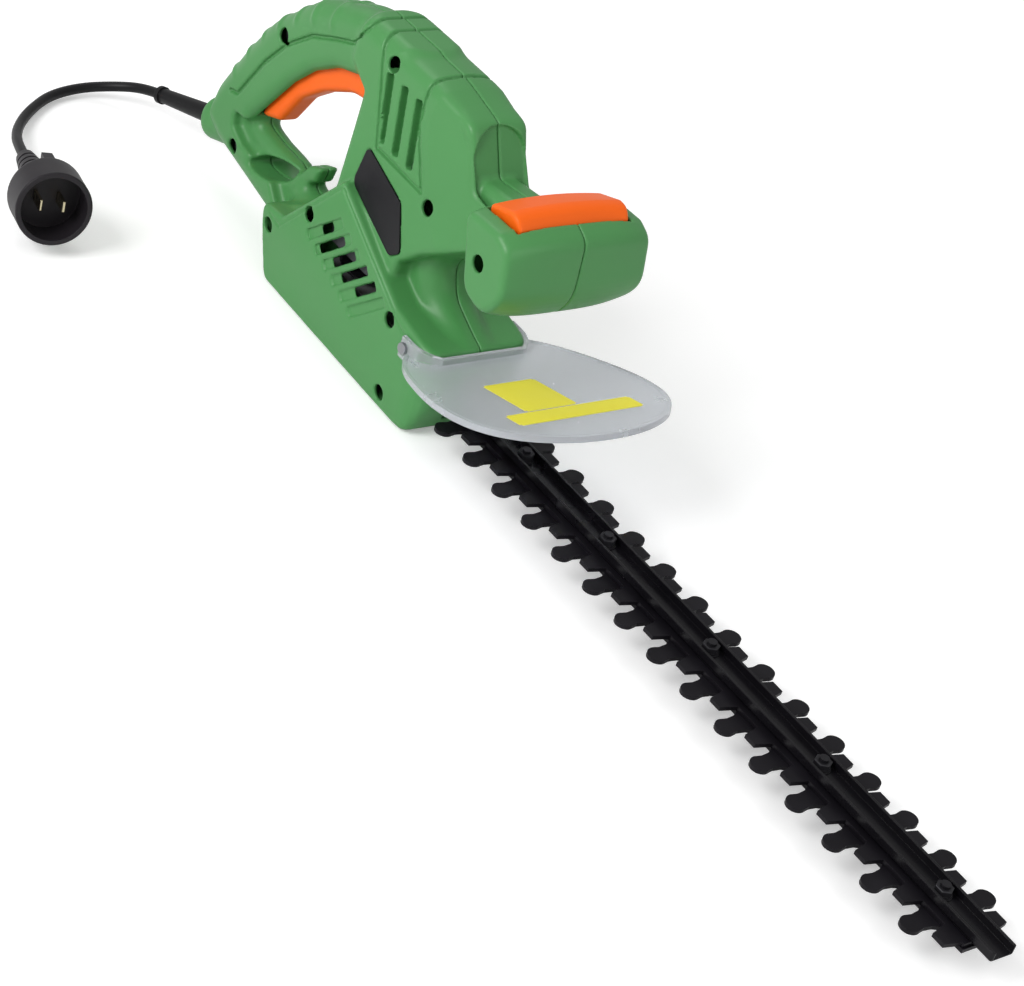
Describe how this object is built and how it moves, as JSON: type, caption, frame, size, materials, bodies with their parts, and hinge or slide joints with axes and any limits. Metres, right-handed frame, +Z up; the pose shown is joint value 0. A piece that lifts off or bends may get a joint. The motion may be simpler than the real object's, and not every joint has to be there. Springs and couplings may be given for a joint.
{
  "type": "hedge trimmer",
  "caption": "Corded electric hedge trimmer with a loop rear handle, a cross front handle with switch bar, a clear hand guard and a double-sided reciprocating blade.",
  "frame": {"origin": "on the flat underside of the housing, in the plane where the two shells meet, 10 mm ahead of the crank shaft", "axes": "+X forward along the blade, +Y to the user's left, +Z up"},
  "size_m": [0.793, 0.2289, 0.1758],
  "materials": {
    "green_plastic": "satin",
    "orange_plastic": "satin",
    "black_plastic": "matte",
    "clear_guard": "gloss",
    "black_steel": "satin",
    "zinc_steel": "satin",
    "bright_steel": "polished",
    "case_alloy": "cast",
    "gear_steel": "machined",
    "copper_winding": "lacquered",
    "lamination": "satin",
    "brass": "satin",
    "carbon": "matte",
    "cord_rubber": "satin"
  },
  "bodies": {
    "root": {"housing_right": "green_plastic", "housing_left": "green_plastic", "nameplate_right": "black_plastic", "nameplate_left": "black_plastic", "rear_switch": "black_plastic", "front_switch": "black_plastic", "terminal_block": "black_plastic", "brush_holders": "black_plastic", "motor_bracket": "black_plastic", "plug_body": "black_plastic", "guard": "clear_guard", "guide_bar": "black_steel", "bar_bolts": "black_steel", "bar_nuts": "black_steel", "spring_washers": "black_steel", "flat_washers": "black_steel", "housing_screws": "zinc_steel", "gearbox_screws": "zinc_steel", "bar_mount_screws": "zinc_steel", "guard_screws": "zinc_steel", "blade_spacers": "zinc_steel", "trigger_pin": "zinc_steel", "front_bar_springs": "zinc_steel", "trigger_spring": "zinc_steel", "gear_bearings": "bright_steel", "motor_bearings": "bright_steel", "gearbox_case": "case_alloy", "gearbox_cover": "case_alloy", "field_coils": "copper_winding", "motor_stator": "lamination", "plug_blades": "brass", "carbon_brushes": "carbon", "cord": "cord_rubber", "strain_relief": "cord_rubber", "internal_leads": "cord_rubber", "capacitor": "cord_rubber"},
    "drive": {"drive_gear": "gear_steel", "gear_shaft": "gear_steel", "eccentric_upper": "gear_steel", "eccentric_lower": "gear_steel"},
    "idler": {"idler_gear": "gear_steel", "idler_shaft": "gear_steel"},
    "armature": {"armature_core": "lamination", "armature_winding": "copper_winding", "motor_shaft": "gear_steel", "commutator": "copper_winding", "fan": "black_plastic", "motor_pinion": "gear_steel"},
    "upper_blade": {"blade_upper": "black_steel"},
    "lower_blade": {"blade_lower": "black_steel"},
    "trigger": {"rear_trigger": "orange_plastic"},
    "switch_bar": {"front_switch_bar": "orange_plastic"},
    "trigger_plunger": {"rear_plunger": "black_plastic"},
    "bar_plunger": {"front_plunger": "black_plastic"}
  },
  "joints": [
    {"name": "motor_spin", "type": "hinge", "parent": "root", "child": "armature", "pos_m": [-0.0562, 0, 0.07], "axis": [0, 0, 1], "range_deg": [-646.5, 646.5]},
    {"name": "idler_spin", "type": "hinge", "parent": "root", "child": "idler", "pos_m": [-0.033, 0, 0.03], "axis": [0, 0, 1], "range_deg": [-205.8, 205.8]},
    {"name": "drive_spin", "type": "hinge", "parent": "root", "child": "drive", "pos_m": [-0.01, 0, 0.025], "axis": [0, 0, 1], "range_deg": [-90, 90]},
    {"name": "upper_blade_slide", "type": "slide", "parent": "root", "child": "upper_blade", "axis": [1, 0, 0], "range_m": [-0.004, 0.004]},
    {"name": "lower_blade_slide", "type": "slide", "parent": "root", "child": "lower_blade", "axis": [1, 0, 0], "range_m": [-0.004, 0.004]},
    {"name": "trigger_press", "type": "hinge", "parent": "root", "child": "trigger", "pos_m": [-0.084, 0, 0.135], "axis": [0, 1, 0], "range_deg": [0, 5], "stiffness_Nm_per_rad": 2, "springref_deg": -3.44, "deforming": ["trigger_spring"]},
    {"name": "switch_bar_press", "type": "slide", "parent": "root", "child": "switch_bar", "axis": [0, 0, -1], "range_m": [0, 0.004], "stiffness_N_per_m": 1500, "springref_m": -0.002, "deforming": ["front_bar_springs"]},
    {"name": "trigger_plunger_slide", "type": "slide", "parent": "root", "child": "trigger_plunger", "axis": [0, 0, 1], "range_m": [0, 0.0035]},
    {"name": "bar_plunger_slide", "type": "slide", "parent": "root", "child": "bar_plunger", "axis": [0, 0, -1], "range_m": [0, 0.004]}
  ],
  "couplings": [
    {"joint": "idler_spin", "follows": "motor_spin", "ratio": -0.31818},
    {"joint": "drive_spin", "follows": "motor_spin", "ratio": 0.1392},
    {"joint": "upper_blade_slide", "follows": "motor_spin", "m_per_rad": -0.00035448},
    {"joint": "lower_blade_slide", "follows": "motor_spin", "m_per_rad": 0.00035448},
    {"joint": "trigger_plunger_slide", "follows": "trigger_press", "m_per_rad": 0.04},
    {"joint": "bar_plunger_slide", "follows": "switch_bar_press", "ratio": 1}
  ]
}
